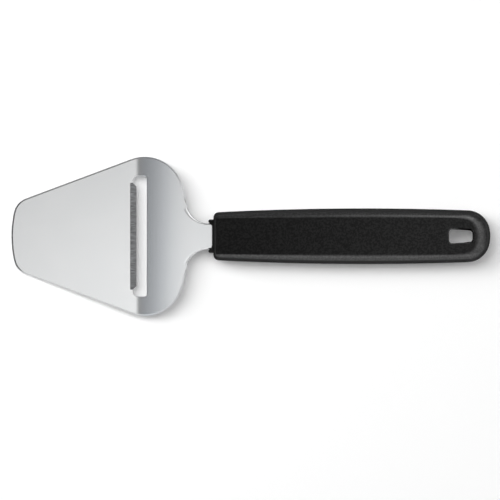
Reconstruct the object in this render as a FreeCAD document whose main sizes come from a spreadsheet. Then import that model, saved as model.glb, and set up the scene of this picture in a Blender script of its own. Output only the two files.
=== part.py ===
"""Cheese slicer: a folded steel blade with a ground slot, a collar and a moulded handle.

Millimetres. +X runs from the blade's nose to the handle's end, +Z is up, and the origin is on the
table under the middle of the tool. Each body is drawn from the nose tip and then placed.
"""
import FreeCAD
import Part
import Sketcher
import math
import os

DRIVING = {
    # Blade, seen from above; lengths along the tool are measured from the nose tip
    "blade_width": 74.7,
    "nose_radius": 52.0,
    "nose_corner_radius": 9.0,
    "flank_angle": 20.4,
    "widest_at": 62.7,
    "shoulder_radius": 18.3,
    "neck_from": 92.8,
    "neck_width": 12.2,
    "neck_radius": 10.4,
    "hip_foot_angle": 62.0,
    # Blade, seen from the side
    "sheet_thickness": 1.2,
    "front_slope_angle": 3.0,
    "fold_at": 59.4,
    "fold_radius": 14.0,
    "crown_end": 88.0,
    # Turned-down edges of the neck
    "flange_depth": 2.6,
    "flange_bend": 0.9,
    "flange_sweep_angle": 74.0,
    "neck_end": 97.0,
    # Slicing slot and its ground lip
    "slot_length": 56.6,
    "slot_front": 57.3,
    "slot_rear": 63.8,
    "slot_front_radius": 2.3,
    "slot_rear_radius": 1.1,
    "lip_root_length": 49.8,
    "lip_tip_length": 46.8,
    "lip_edge": 58.9,
    "bevel_angle": 21.5,
    "edge_land": 0.12,
    # Tang inside the handle
    "tang_length": 75.0,
    "tang_corner_radius": 3.0,
    "anchor_diameter": 5.0,
    "anchor_inset": 20.0,
    "anchor_pitch": 35.0,
    # Collar
    "collar_front": 94.5,
    "collar_width": 15.8,
    "collar_height": 9.2,
    "collar_corner_radius": 2.2,
    "collar_depth": 7.0,
    "ear_reach": 2.0,
    "ear_gap_width": 15.0,
    "ear_root_radius": 3.8,
    "ear_tip_break": 0.3,
    # Handle
    "collar_reveal": 0.6,
    "handle_length": 129.9,
    "handle_width": 26.1,
    "handle_thickness": 12.8,
    "handle_widest_at": 70.7,
    "handle_side_radius": 1346.0,
    "handle_front_radius": 1.5,
    "handle_end_radius": 18.5,
    "handle_end_corner": 10.7,
    "shoulder_rounding": 5.4,
    # Hang hole
    "hole_length": 11.6,
    "hole_end_gap": 8.0,
    "hole_width": 6.1,
    "hole_taper_angle": 3.4,
    "hole_corner_radius": 1.5,
    "hole_rim_break": 0.5,
    # Room left around cutting profiles
    "trim_margin": 3.0,
}

NEAR = 0.001
QUARTER_TURN = 90.0
UPWARD = FreeCAD.Vector(0, 0, 1)

doc = FreeCAD.newDocument("cheese_slicer")
sheet = doc.addObject("Spreadsheet::Sheet", "sizes")
for row, (alias, value) in enumerate(DRIVING.items(), start=1):
    sheet.set(f"A{row}", alias)
    sheet.set(f"B{row}", str(value))
    sheet.setAlias(f"B{row}", alias)
doc.recompute()


class Size:
    """A number together with the sheet formula that gives it."""

    def __init__(self, number, text):
        self.number = number
        self.text = text

    @staticmethod
    def of(item):
        return item if isinstance(item, Size) else Size(item, str(item))

    def __add__(self, other):
        other = Size.of(other)
        return Size(self.number + other.number, f"({self.text} + {other.text})")

    def __sub__(self, other):
        other = Size.of(other)
        return Size(self.number - other.number, f"({self.text} - {other.text})")

    def __mul__(self, other):
        other = Size.of(other)
        return Size(self.number * other.number, f"({self.text} * {other.text})")

    def __truediv__(self, other):
        other = Size.of(other)
        return Size(self.number / other.number, f"({self.text} / {other.text})")


def size(alias):
    return Size(float(getattr(sheet, alias)), f"sizes.{alias}")


def tangent(angle):
    return Size(math.tan(math.radians(angle.number)), f"tan({angle.text} * 1 deg)")


ORIGIN = Size(0.0, "0")
HALF_TURN = Size(180.0, "180")
thickness = size("sheet_thickness")
margin = size("trim_margin")
neck_half = size("neck_width") / 2
tang_half = neck_half - size("flange_bend")
tang_end = size("neck_end") + size("tang_length")
handle_front = size("collar_front") + size("collar_reveal")
handle_end = handle_front + size("handle_length")
collar_back = handle_front + size("collar_depth")
middle_level = size("handle_thickness") / 2
tang_level = middle_level - thickness / 2


def vector(x, y):
    return FreeCAD.Vector(x, y, 0)


def polar(centre, radius, degrees):
    angle = math.radians(degrees)
    return centre + vector(radius * math.cos(angle), radius * math.sin(angle))


class Profile:
    """A sketch of one body, drawn end to end and sized from the sheet."""

    def __init__(self, body, name, role, lift=ORIGIN):
        self.sketch = body.newObject("Sketcher::SketchObject", name)
        base = next(item for item in body.Origin.OriginFeatures if item.Role == role)
        self.sketch.AttachmentSupport = [(base, "")]
        self.sketch.MapMode = "FlatFace"
        self.sketch.setExpression("AttachmentOffset.Base.z", lift.text)
        self.ends = {}

    def line(self, start, end):
        index = self.sketch.addGeometry(Part.LineSegment(start, end), False)
        self.ends[index] = (1, 2)
        return index

    def arc(self, centre, start, end, clockwise=False):
        """An arc drawn from start to end; clockwise as seen against the sketch's normal."""
        first, last = (end, start) if clockwise else (start, end)
        radius = (start - centre).Length
        begin = math.atan2(first.y - centre.y, first.x - centre.x)
        finish = math.atan2(last.y - centre.y, last.x - centre.x)
        if finish <= begin:
            finish += 2 * math.pi
        circle = Part.Circle(centre, UPWARD, radius)
        index = self.sketch.addGeometry(Part.ArcOfCircle(circle, begin, finish), False)
        self.ends[index] = (2, 1) if clockwise else (1, 2)
        return index

    def circle(self, centre, radius):
        return self.sketch.addGeometry(Part.Circle(centre, UPWARD, radius), False)

    def mark(self, place):
        return self.sketch.addGeometry(Part.Point(FreeCAD.Vector(place)), True)

    def first(self, item):
        return item, self.ends[item][0]

    def last(self, item):
        return item, self.ends[item][1]

    def rule(self, kind, *where):
        return self.sketch.addConstraint(Sketcher.Constraint(kind, *where))

    def smooth(self, *items):
        for before, after in zip(items, items[1:]):
            self.rule("Tangent", *self.last(before), *self.first(after))

    def corner(self, *items):
        for before, after in zip(items, items[1:]):
            self.rule("Coincident", *self.last(before), *self.first(after))

    def measure(self, kind, *where_and_size):
        *where, length = where_and_size
        index = self.rule(kind, *where, length.number)
        self.sketch.setExpression(f"Constraints[{index}]", length.text)

    def turn(self, item, angle):
        """The direction of a line, or the sweep of an arc, in degrees."""
        index = self.rule("Angle", item, math.radians(angle.number))
        self.sketch.setExpression(f"Constraints[{index}]", f"{angle.text} * 1 deg")

    def across(self, where, length):
        """How far a point lies from the sketch's own upright axis."""
        self.measure("DistanceX", -1, 1, *where, length)

    def above(self, where, length):
        """How far a point lies from the sketch's own level axis."""
        self.measure("DistanceY", -1, 1, *where, length)

    def level(self, *items):
        for item in items:
            self.rule("Horizontal", item)

    def upright(self, *items):
        for item in items:
            self.rule("Vertical", item)


def new_body(name):
    body = doc.addObject("PartDesign::Body", name)
    body.Label = name
    body.setExpression("Placement.Base.x", f"-{handle_end.text} / 2")
    return body


def feature(body, kind, name, profile, length=None, symmetric=False, backwards=False):
    """A pad or a pocket; with no length a pocket goes through everything."""
    item = body.newObject(f"PartDesign::{kind}", name)
    item.Profile = profile.sketch
    item.SideType = "Symmetric" if symmetric else "One side"
    item.Reversed = backwards
    if length is None:
        item.Type = "ThroughAll"
    else:
        item.Type = "Length"
        item.setExpression("Length", length.text)
    doc.recompute()
    return item


def mirror(body, name, originals):
    item = body.newObject("PartDesign::Mirrored", name)
    item.Originals = originals
    base = next(plane for plane in body.Origin.OriginFeatures if plane.Role == "XZ_Plane")
    item.MirrorPlane = (base, [""])
    body.Tip = item
    doc.recompute()
    return item


def dress(body, kind, name, base, amount, chosen):
    """A fillet or a chamfer on the edges of a feature that the function chosen picks."""
    names = [f"Edge{n}" for n, edge in enumerate(base.Shape.Edges, start=1) if chosen(edge)]
    item = body.newObject(f"PartDesign::{kind}", name)
    item.Base = (base, names)
    item.setExpression("Radius" if kind == "Fillet" else "Size", amount.text)
    doc.recompute()
    return item


def middle(edge):
    return edge.valueAt((edge.FirstParameter + edge.LastParameter) / 2)


def places(edge):
    return [middle(edge), *(vertex.Point for vertex in edge.Vertexes)]


def sheet_side_profile(body):
    """The sheet from the side: sloping plate, fold, crowned back and level tang."""
    slope = size("front_slope_angle")
    fold_x = size("fold_at")
    fold_z = fold_x * tangent(slope)
    crown_x = size("crown_end")
    inside = size("fold_radius")
    outside = inside + thickness
    run = crown_x.number - fold_x.number
    rise = tang_level.number - fold_z.number
    crown_radius = (run ** 2 + rise ** 2) / (2 * rise)
    crown_centre = vector(crown_x.number, tang_level.number - crown_radius)
    lift = thickness.number
    tilt = math.radians(slope.number)
    along = vector(math.cos(tilt), math.sin(tilt))
    upward = vector(-math.sin(tilt), math.cos(tilt))
    reach = crown_radius + outside.number
    toward = crown_centre - upward * outside.number
    back_off = math.sqrt(reach ** 2 - toward.dot(toward) + toward.dot(along) ** 2)
    fold_centre = along * (toward.dot(along) - back_off) + upward * outside.number
    sight = (fold_centre - crown_centre) * (1 / reach)

    start = vector(-margin.number, -margin.number * math.tan(tilt))
    start_top = start + vector(0, lift / math.cos(tilt))
    fold_start = fold_centre - upward * outside.number
    fold_start_top = fold_centre - upward * inside.number
    crown_start = crown_centre + sight * crown_radius
    crown_start_top = crown_centre + sight * (crown_radius + lift)
    crown_stop = vector(crown_x.number, tang_level.number)
    crown_stop_top = crown_stop + vector(0, lift)
    tail = vector(tang_end.number + margin.number, tang_level.number)
    tail_top = tail + vector(0, lift)

    p = Profile(body, "sheet_side", "XZ_Plane")
    plate = p.line(start, fold_start)
    fold = p.arc(fold_centre, fold_start, crown_start)
    crown = p.arc(crown_centre, crown_start, crown_stop, clockwise=True)
    tang = p.line(crown_stop, tail)
    back = p.line(tail, tail_top)
    tang_upper = p.line(tail_top, crown_stop_top)
    crown_upper = p.arc(crown_centre, crown_stop_top, crown_start_top)
    fold_upper = p.arc(fold_centre, crown_start_top, fold_start_top, clockwise=True)
    plate_upper = p.line(fold_start_top, start_top)
    front = p.line(start_top, start)
    p.smooth(plate, fold, crown, tang)
    p.corner(tang, back, tang_upper)
    p.smooth(tang_upper, crown_upper, fold_upper, plate_upper)
    p.corner(plate_upper, front, plate)
    p.level(tang, tang_upper)
    p.upright(back, front)
    p.rule("Coincident", crown, 3, crown_upper, 3)
    p.rule("Coincident", fold, 3, fold_upper, 3)
    p.rule("PointOnObject", -1, 1, plate)
    p.turn(plate, slope)
    p.measure("Radius", fold_upper, inside)
    p.measure("DistanceX", *p.first(plate), -1, 1, margin)
    mark = p.mark(vector(fold_x.number, fold_z.number))
    p.across((mark, 1), fold_x)
    p.rule("PointOnObject", mark, 1, plate)
    p.rule("PointOnObject", mark, 1, crown)
    p.across(p.first(tang), crown_x)
    p.above(p.first(tang), tang_level)
    p.across(p.last(tang), tang_end + margin)
    p.measure("DistanceY", *p.last(tang), *p.first(tang_upper), thickness)
    return p


def blade_waste_profile(body):
    """What is trimmed off one side of the sheet: the outline, closed by a frame around it."""
    nose_radius = size("nose_radius")
    corner_radius = size("nose_corner_radius")
    shoulder_radius = size("shoulder_radius")
    shoulder_y = size("blade_width") / 2 - shoulder_radius
    neck_y = neck_half + size("neck_radius")
    flank = math.radians(size("flank_angle").number)
    along = vector(math.cos(flank), math.sin(flank))
    outward = vector(-math.sin(flank), math.cos(flank))

    tip = vector(0, 0)
    nose_centre = vector(nose_radius.number, 0)
    shoulder_centre = vector(size("widest_at").number, shoulder_y.number)
    flank_end = shoulder_centre + outward * shoulder_radius.number
    guide = flank_end - outward * corner_radius.number
    gap = guide - nose_centre
    inner = nose_radius.number - corner_radius.number
    step = -gap.dot(along) - math.sqrt(gap.dot(along) ** 2 - gap.dot(gap) + inner ** 2)
    corner_centre = guide + along * step
    flank_start = corner_centre + outward * corner_radius.number
    reach = corner_centre - nose_centre
    nose_end = corner_centre + reach * (corner_radius.number / reach.Length)

    neck_centre = vector(size("neck_from").number, neck_y.number)
    neck_arc = neck_y.number - tang_half.number
    hip_foot = polar(neck_centre, neck_arc, 3 * QUARTER_TURN - size("hip_foot_angle").number)
    sight = shoulder_centre - hip_foot
    lean = math.atan2(sight.y, sight.x) - math.asin(shoulder_radius.number / sight.Length)
    hip_length = math.sqrt(sight.Length ** 2 - shoulder_radius.number ** 2)
    hip_top = hip_foot + vector(math.cos(lean), math.sin(lean)) * hip_length
    tang_start = vector(neck_centre.x, tang_half.number)
    rounding = size("tang_corner_radius")
    tang_corner = vector(tang_end.number - rounding.number, tang_half.number - rounding.number)
    tang_stop = tang_corner + vector(0, rounding.number)
    end_start = tang_corner + vector(rounding.number, 0)
    end_stop = vector(tang_end.number, 0)
    frame_y = size("blade_width") / 2 + margin
    right = tang_end.number + margin.number

    p = Profile(body, "outline_waste", "XY_Plane")
    nose = p.arc(nose_centre, tip, nose_end, clockwise=True)
    nose_corner = p.arc(corner_centre, nose_end, flank_start, clockwise=True)
    side = p.line(flank_start, flank_end)
    shoulder = p.arc(shoulder_centre, flank_end, hip_top, clockwise=True)
    hip = p.line(hip_top, hip_foot)
    neck = p.arc(neck_centre, hip_foot, tang_start)
    tang = p.line(tang_start, tang_stop)
    tang_round = p.arc(tang_corner, tang_stop, end_start, clockwise=True)
    tail = p.line(end_start, end_stop)
    out = p.line(end_stop, vector(right, 0))
    rise = p.line(vector(right, 0), vector(right, frame_y.number))
    roof = p.line(vector(right, frame_y.number), vector(-margin.number, frame_y.number))
    drop = p.line(vector(-margin.number, frame_y.number), vector(-margin.number, 0))
    home = p.line(vector(-margin.number, 0), tip)
    p.smooth(nose, nose_corner, side, shoulder, hip)
    p.corner(hip, neck)
    p.smooth(neck, tang, tang_round, tail)
    p.corner(tail, out, rise, roof, drop, home, nose)
    p.level(tang, out, roof, home)
    p.upright(tail, rise, drop)
    p.rule("Coincident", *p.first(nose), -1, 1)
    p.rule("PointOnObject", nose, 3, -1)
    p.rule("PointOnObject", *p.last(tail), -1)
    p.measure("Radius", nose, nose_radius)
    p.measure("Radius", nose_corner, corner_radius)
    p.turn(side, size("flank_angle"))
    p.across((shoulder, 3), size("widest_at"))
    p.above((shoulder, 3), shoulder_y)
    p.measure("Radius", shoulder, shoulder_radius)
    p.across((neck, 3), size("neck_from"))
    p.above((neck, 3), neck_y)
    p.turn(neck, size("hip_foot_angle"))
    p.above(p.first(tang), tang_half)
    p.measure("Radius", tang_round, rounding)
    p.across(p.last(tail), tang_end)
    p.measure("DistanceX", *p.first(out), *p.last(out), margin)
    p.above(p.first(roof), frame_y)
    p.measure("DistanceX", *p.first(home), *p.last(home), margin)
    return p


def flange_profile(body):
    """Section of a neck edge that is turned down, with the axis that it curves around."""
    bend = size("flange_bend")
    top = tang_level + thickness
    bottom = tang_level - size("flange_depth")
    inner = neck_half - thickness
    axis_y = neck_half + size("neck_radius")
    bend_centre = vector(tang_half.number, top.number - bend.number)
    wall_top = bend_centre + vector(bend.number, 0)
    bend_end = bend_centre + vector(0, bend.number)

    p = Profile(body, "flange_section", "YZ_Plane", lift=size("neck_from"))
    floor = p.line(vector(inner.number, bottom.number), vector(neck_half.number, bottom.number))
    wall = p.line(vector(neck_half.number, bottom.number), wall_top)
    knee = p.arc(bend_centre, wall_top, bend_end)
    crest = p.line(bend_end, vector(inner.number, top.number))
    inside = p.line(vector(inner.number, top.number), vector(inner.number, bottom.number))
    p.corner(floor, wall)
    p.smooth(wall, knee, crest)
    p.corner(crest, inside, floor)
    p.level(floor, crest)
    p.upright(wall, inside)
    p.measure("Radius", knee, bend)
    p.across(p.first(wall), neck_half)
    p.above(p.first(wall), bottom)
    p.across(p.first(inside), inner)
    p.above(p.first(inside), top)
    axis = p.line(vector(axis_y.number, bottom.number), vector(axis_y.number, top.number))
    p.sketch.toggleConstruction(axis)
    p.upright(axis)
    p.across(p.first(axis), axis_y)
    p.above(p.first(axis), bottom)
    p.above(p.last(axis), top)
    return p


def slot_profile(body):
    """One half of the slicing slot, with the relief beside the lip and the lip's slanted end."""
    half = size("slot_length") / 2
    front_x = size("slot_front")
    rear_x = size("slot_rear")
    lip_x = size("lip_edge")
    root = size("lip_root_length") / 2
    reach = size("lip_tip_length") / 2
    front_radius = size("slot_front_radius")
    rear_radius = size("slot_rear_radius")
    rear_centre = vector(rear_x.number - rear_radius.number, half.number - rear_radius.number)
    front_centre = vector(front_x.number + front_radius.number, half.number - front_radius.number)
    rear_low = rear_centre + vector(rear_radius.number, 0)
    rear_high = rear_centre + vector(0, rear_radius.number)
    front_high = front_centre + vector(0, front_radius.number)
    front_low = front_centre - vector(front_radius.number, 0)
    lip_root = vector(front_x.number, root.number)
    lip_tip = vector(lip_x.number, reach.number)

    p = Profile(body, "slot_half", "XY_Plane")
    rear = p.line(vector(rear_x.number, 0), rear_low)
    rear_round = p.arc(rear_centre, rear_low, rear_high)
    end = p.line(rear_high, front_high)
    front_round = p.arc(front_centre, front_high, front_low)
    relief = p.line(front_low, lip_root)
    lip_end = p.line(lip_root, lip_tip)
    lip = p.line(lip_tip, vector(lip_x.number, 0))
    axis = p.line(vector(lip_x.number, 0), vector(rear_x.number, 0))
    p.smooth(rear, rear_round, end, front_round, relief)
    p.corner(relief, lip_end, lip, axis, rear)
    p.upright(rear, relief, lip)
    p.level(end)
    p.rule("PointOnObject", *p.first(axis), -1)
    p.rule("PointOnObject", *p.last(axis), -1)
    p.measure("Radius", rear_round, rear_radius)
    p.measure("Radius", front_round, front_radius)
    p.across(p.first(rear), rear_x)
    p.above(p.first(end), half)
    p.across(p.first(relief), front_x)
    p.above(p.last(relief), root)
    p.across(p.first(lip), lip_x)
    p.above(p.first(lip), reach)
    return p


def bevel_profile(body):
    """The stone's cut, from the side: it leaves the lip a ground bevel and a thin land."""
    slope = size("front_slope_angle")
    lip_x = size("lip_edge")
    edge_z = lip_x * tangent(slope) + size("edge_land")
    fall = size("bevel_angle") - slope
    edge = vector(lip_x.number, edge_z.number)
    tilt = math.tan(math.radians(fall.number))
    low = edge + vector(margin.number / 2, -margin.number / 2 * tilt)
    rise = thickness.number * 2
    high = edge + vector(-rise / tilt, rise)

    p = Profile(body, "bevel_cut", "XZ_Plane")
    face = p.line(low, high)
    roof = p.line(high, vector(low.x, high.y))
    drop = p.line(vector(low.x, high.y), low)
    p.corner(face, roof, drop, face)
    p.level(roof)
    p.upright(drop)
    mark = p.mark(edge)
    p.across((mark, 1), lip_x)
    p.above((mark, 1), edge_z)
    p.rule("PointOnObject", mark, 1, face)
    p.turn(face, HALF_TURN - fall)
    p.across(p.first(face), lip_x + margin / 2)
    p.above(p.first(roof), edge_z + thickness * 2)
    return p


def anchor_profile(body, name):
    """The two holes along the tang, also the keys that fill them."""
    radius = size("anchor_diameter") / 2
    first = size("neck_end") + size("anchor_inset")
    p = Profile(body, name, "XY_Plane", lift=tang_level)
    for place in (first, first + size("anchor_pitch")):
        hole = p.circle(vector(place.number, 0), radius.number)
        p.across((hole, 3), place)
        p.rule("PointOnObject", hole, 3, -1)
        p.measure("Radius", hole, radius)
    return p


def make_blade():
    body = new_body("blade")
    width = size("blade_width") + margin * 2
    feature(body, "Pad", "sheet", sheet_side_profile(body), width, symmetric=True)
    waste = feature(body, "Pocket", "outline", blade_waste_profile(body), symmetric=True)
    mirror(body, "outline_both", [waste])
    section = flange_profile(body)
    curve = body.newObject("PartDesign::Revolution", "flange_curve")
    curve.Profile = section.sketch
    curve.ReferenceAxis = (section.sketch, ["Axis0"])
    curve.Reversed = True
    curve.setExpression("Angle", f"{size('flange_sweep_angle').text} * 1 deg")
    doc.recompute()
    run = feature(body, "Pad", "flange_run", section, size("neck_end") - size("neck_from"))
    slot = feature(body, "Pocket", "slot", slot_profile(body), symmetric=True)
    mirror(body, "flange_and_slot_both", [curve, run, slot])
    feature(body, "Pocket", "bevel", bevel_profile(body), size("lip_root_length"), symmetric=True)
    feature(body, "Pocket", "anchors", anchor_profile(body, "anchor_holes"), symmetric=True)
    return body


def block_section(p, half, bottom, top, radius=None):
    """A rectangle about the upright axis of a sketch, with round corners where radius is given."""
    w, low, high = half.number, bottom.number, top.number
    r = radius.number if radius else 0.0
    floor = p.line(vector(r - w, low), vector(w - r, low))
    right = p.line(vector(w, low + r), vector(w, high - r))
    roof = p.line(vector(w - r, high), vector(r - w, high))
    left = p.line(vector(-w, high - r), vector(-w, low + r))
    sides = [floor, right, roof, left]
    if radius:
        centres = [vector(w - r, low + r), vector(w - r, high - r),
                   vector(r - w, high - r), vector(r - w, low + r)]
        for number, centre in enumerate(centres):
            begin = QUARTER_TURN * (number - 1)
            round_corner = p.arc(centre, polar(centre, r, begin), polar(centre, r, begin + QUARTER_TURN))
            p.smooth(sides[number], round_corner, sides[(number + 1) % len(sides)])
            p.measure("Radius", round_corner, radius)
    else:
        p.corner(*sides, floor)
    p.level(floor, roof)
    p.upright(right, left)
    p.across(p.first(right), half)
    p.measure("DistanceX", *p.first(left), -1, 1, half)
    p.above(p.first(floor), bottom)
    p.above(p.first(roof), top)
    return p


def collar_section(body, name, lift):
    """The collar's outer section, also the mouth that the handle leaves for it."""
    p = Profile(body, name, "YZ_Plane", lift=lift)
    tall = size("collar_height") / 2
    half = size("collar_width") / 2
    return block_section(p, half, middle_level - tall, middle_level + tall, size("collar_corner_radius"))


def ear_gap_profile(body):
    """One half of the round-cornered gap between the collar's ears, where the neck lies."""
    radius = size("ear_root_radius")
    front = size("collar_front")
    start = front - size("ear_reach") - margin
    half = size("ear_gap_width") / 2
    x, y, r = front.number, half.number, radius.number
    centre = vector(x - r, y - r)

    p = Profile(body, "ear_gap", "XY_Plane")
    axis = p.line(vector(start.number, 0), vector(x, 0))
    root = p.line(vector(x, 0), vector(x, y - r))
    bend = p.arc(centre, vector(x, y - r), vector(x - r, y))
    ear = p.line(vector(x - r, y), vector(start.number, y))
    mouth = p.line(vector(start.number, y), vector(start.number, 0))
    p.corner(axis, root)
    p.smooth(root, bend, ear)
    p.corner(ear, mouth, axis)
    p.level(ear)
    p.upright(root, mouth)
    p.rule("PointOnObject", *p.first(axis), -1)
    p.rule("PointOnObject", *p.last(axis), -1)
    p.measure("Radius", bend, radius)
    p.across(p.first(axis), start)
    p.across(p.first(root), front)
    p.above(p.first(ear), half)
    return p


def make_collar():
    body = new_body("collar")
    ear_tip = size("collar_front") - size("ear_reach")
    block = collar_section(body, "collar_section", ear_tip)
    feature(body, "Pad", "block", block, collar_back - ear_tip)
    gap = feature(body, "Pocket", "ear_gap_half", ear_gap_profile(body), symmetric=True)
    ears = mirror(body, "ear_gap_both", [gap])

    def ear_ends(edge):
        return abs(middle(edge).x - ear_tip.number) < NEAR

    dress(body, "Chamfer", "ear_tips", ears, size("ear_tip_break"), ear_ends)
    neck = Profile(body, "neck_section", "YZ_Plane", lift=ear_tip)
    block_section(neck, neck_half, tang_level - size("flange_depth"), tang_level + thickness)
    feature(body, "Pocket", "neck_seat", neck, size("neck_end") - ear_tip, backwards=True)
    tang = Profile(body, "tang_section", "YZ_Plane")
    block_section(tang, tang_half, tang_level, tang_level + thickness)
    feature(body, "Pocket", "tang_slot", tang, symmetric=True)
    return body


def crossing(centre, radius, other, other_radius):
    """Where two circles cross, on the right of the way from the first centre to the other."""
    gap = other - centre
    along = (gap.Length ** 2 + radius ** 2 - other_radius ** 2) / (2 * gap.Length)
    aside = math.sqrt(radius ** 2 - along ** 2)
    unit = gap * (1 / gap.Length)
    return centre + unit * along + vector(unit.y, -unit.x) * aside


def handle_outline(body):
    """The handle from above: square front, bowed sides and a blunt round end."""
    half = size("handle_width") / 2
    side_radius = size("handle_side_radius")
    end_radius = size("handle_end_radius")
    corner_radius = size("handle_end_corner")
    widest = handle_front + size("handle_widest_at")
    big, c = side_radius.number, corner_radius.number
    side_centre = vector(widest.number, half.number - big)
    end_centre = vector(handle_end.number - end_radius.number, 0)
    inner_end = end_radius.number - c
    corner_centre = crossing(side_centre, big - c, end_centre, inner_end)
    offset = handle_front.number - widest.number
    side_front = vector(handle_front.number, side_centre.y + math.sqrt(big ** 2 - offset ** 2))
    side_end = side_centre + (corner_centre - side_centre) * (big / (big - c))
    end_start = end_centre + (corner_centre - end_centre) * (end_radius.number / inner_end)

    def below(place):
        return vector(place.x, -place.y)

    p = Profile(body, "handle_outline", "XY_Plane")
    lower = p.arc(below(side_centre), below(side_front), below(side_end))
    lower_end = p.arc(below(corner_centre), below(side_end), below(end_start))
    tip = p.arc(end_centre, below(end_start), end_start)
    upper_end = p.arc(corner_centre, end_start, side_end)
    upper = p.arc(side_centre, side_end, side_front)
    face = p.line(side_front, below(side_front))
    p.smooth(lower, lower_end, tip, upper_end, upper)
    p.corner(upper, face, lower)
    p.upright(face)
    p.across(p.first(face), handle_front)
    p.rule("PointOnObject", tip, 3, -1)
    p.across((tip, 3), handle_end - end_radius)
    p.measure("Radius", tip, end_radius)
    for arc in (upper_end, lower_end):
        p.measure("Radius", arc, corner_radius)
    for arc in (upper, lower):
        p.measure("Radius", arc, side_radius)
        p.across((arc, 3), widest)
    p.measure("DistanceY", upper, 3, -1, 1, side_radius - half)
    p.above((lower, 3), side_radius - half)
    return p


def hang_hole_profile(body):
    """One half of the hang hole, which narrows towards the handle's end."""
    outer = handle_end - size("hole_end_gap")
    inner = outer - size("hole_length")
    centre_x = outer - size("hole_length") / 2
    half = size("hole_width") / 2
    taper = size("hole_taper_angle")
    radius = size("hole_corner_radius")
    r = radius.number
    angle = math.radians(taper.number)
    normal = vector(math.sin(angle), math.cos(angle))

    def corner_centre(x):
        drop = r + normal.x * (x - centre_x.number)
        return vector(x, half.number - drop / normal.y)

    outer_centre = corner_centre(outer.number - r)
    inner_centre = corner_centre(inner.number + r)
    p = Profile(body, "hang_hole_half", "XY_Plane")
    axis = p.line(vector(inner.number, 0), vector(outer.number, 0))
    far = p.line(vector(outer.number, 0), outer_centre + vector(r, 0))
    far_round = p.arc(outer_centre, outer_centre + vector(r, 0), outer_centre + normal * r)
    side = p.line(outer_centre + normal * r, inner_centre + normal * r)
    near_round = p.arc(inner_centre, inner_centre + normal * r, inner_centre - vector(r, 0))
    near = p.line(inner_centre - vector(r, 0), vector(inner.number, 0))
    p.corner(near, axis, far)
    p.smooth(far, far_round, side, near_round, near)
    p.upright(far, near)
    p.rule("PointOnObject", *p.first(axis), -1)
    p.rule("PointOnObject", *p.last(axis), -1)
    p.across(p.first(axis), inner)
    p.across(p.last(axis), outer)
    p.measure("Radius", far_round, radius)
    p.measure("Radius", near_round, radius)
    p.turn(side, HALF_TURN - taper)
    mark = p.mark(vector(centre_x.number, half.number))
    p.across((mark, 1), centre_x)
    p.above((mark, 1), half)
    p.rule("PointOnObject", mark, 1, side)
    return p


def tang_cavity_profile(body):
    """One half of the tang's room in the handle, seen from above."""
    start = collar_back - margin / 2
    radius = size("tang_corner_radius")
    x, y, r = tang_end.number, tang_half.number, radius.number
    centre = vector(x - r, y - r)
    p = Profile(body, "tang_room_half", "XY_Plane", lift=tang_level + thickness)
    axis = p.line(vector(start.number, 0), vector(x, 0))
    tail = p.line(vector(x, 0), vector(x, y - r))
    bend = p.arc(centre, vector(x, y - r), vector(x - r, y))
    side = p.line(vector(x - r, y), vector(start.number, y))
    mouth = p.line(vector(start.number, y), vector(start.number, 0))
    p.corner(axis, tail)
    p.smooth(tail, bend, side)
    p.corner(side, mouth, axis)
    p.level(side)
    p.upright(tail, mouth)
    p.rule("PointOnObject", *p.first(axis), -1)
    p.rule("PointOnObject", *p.last(axis), -1)
    p.measure("Radius", bend, radius)
    p.across(p.first(axis), start)
    p.across(p.last(axis), tang_end)
    p.above(p.first(side), tang_half)
    return p


def make_handle():
    body = new_body("handle")
    top = size("handle_thickness")
    grip = feature(body, "Pad", "grip", handle_outline(body), top)

    def in_front(edge):
        return all(place.x - handle_front.number < NEAR for place in places(edge))

    def flat_rim(edge):
        return all(min(place.z, abs(place.z - top.number)) < NEAR for place in places(edge))

    def shoulder(edge):
        return flat_rim(edge) and not in_front(edge)

    shoulders = dress(body, "Fillet", "shoulders", grip, size("shoulder_rounding"), shoulder)
    dress(body, "Fillet", "front_rim", shoulders, size("handle_front_radius"), in_front)
    hole = feature(body, "Pocket", "hang_hole", hang_hole_profile(body), symmetric=True)
    both = mirror(body, "hang_hole_both", [hole])
    hole_outer = handle_end.number - size("hole_end_gap").number
    hole_inner = hole_outer - size("hole_length").number

    def hole_rim(edge):
        place = middle(edge)
        beside = abs(place.y) < size("hole_width").number
        return flat_rim(edge) and beside and hole_inner - NEAR < place.x < hole_outer + NEAR

    dress(body, "Chamfer", "hang_hole_rim", both, size("hole_rim_break"), hole_rim)
    seat = collar_section(body, "collar_seat", handle_front - margin)
    feature(body, "Pocket", "mouth", seat, size("collar_depth") + margin, backwards=True)
    room = feature(body, "Pocket", "tang_room", tang_cavity_profile(body), thickness)
    mirror(body, "tang_room_both", [room])
    feature(body, "Pad", "keys", anchor_profile(body, "anchor_keys"), thickness)
    return body


subparts = [make_blade(), make_collar(), make_handle()]
doc.recompute()

for item in doc.Objects:
    if "Invalid" in item.State or "Error" in item.State:
        raise RuntimeError(f"{item.Name} failed: {item.State}")
for body in subparts:
    if body.Shape.isNull() or not body.Shape.isValid():
        raise RuntimeError(f"{body.Label} has no valid shape")

os.makedirs("parts", exist_ok=True)
for body in subparts:
    body.Shape.exportStep(f"parts/{body.Label}.step")
    box = body.Shape.BoundBox
    print(body.Label, len(body.Shape.Solids), round(body.Shape.Volume, 3), box)
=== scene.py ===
"""Looks of the cheese slicer: a satin steel blade, a black collar and a grained black handle.

Metres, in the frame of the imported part: +X runs from the blade's nose to the handle's end, +Z is up.
The sizes of the pieces are named in millimetres, and MM scales them where they are used.
"""
import math

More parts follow.
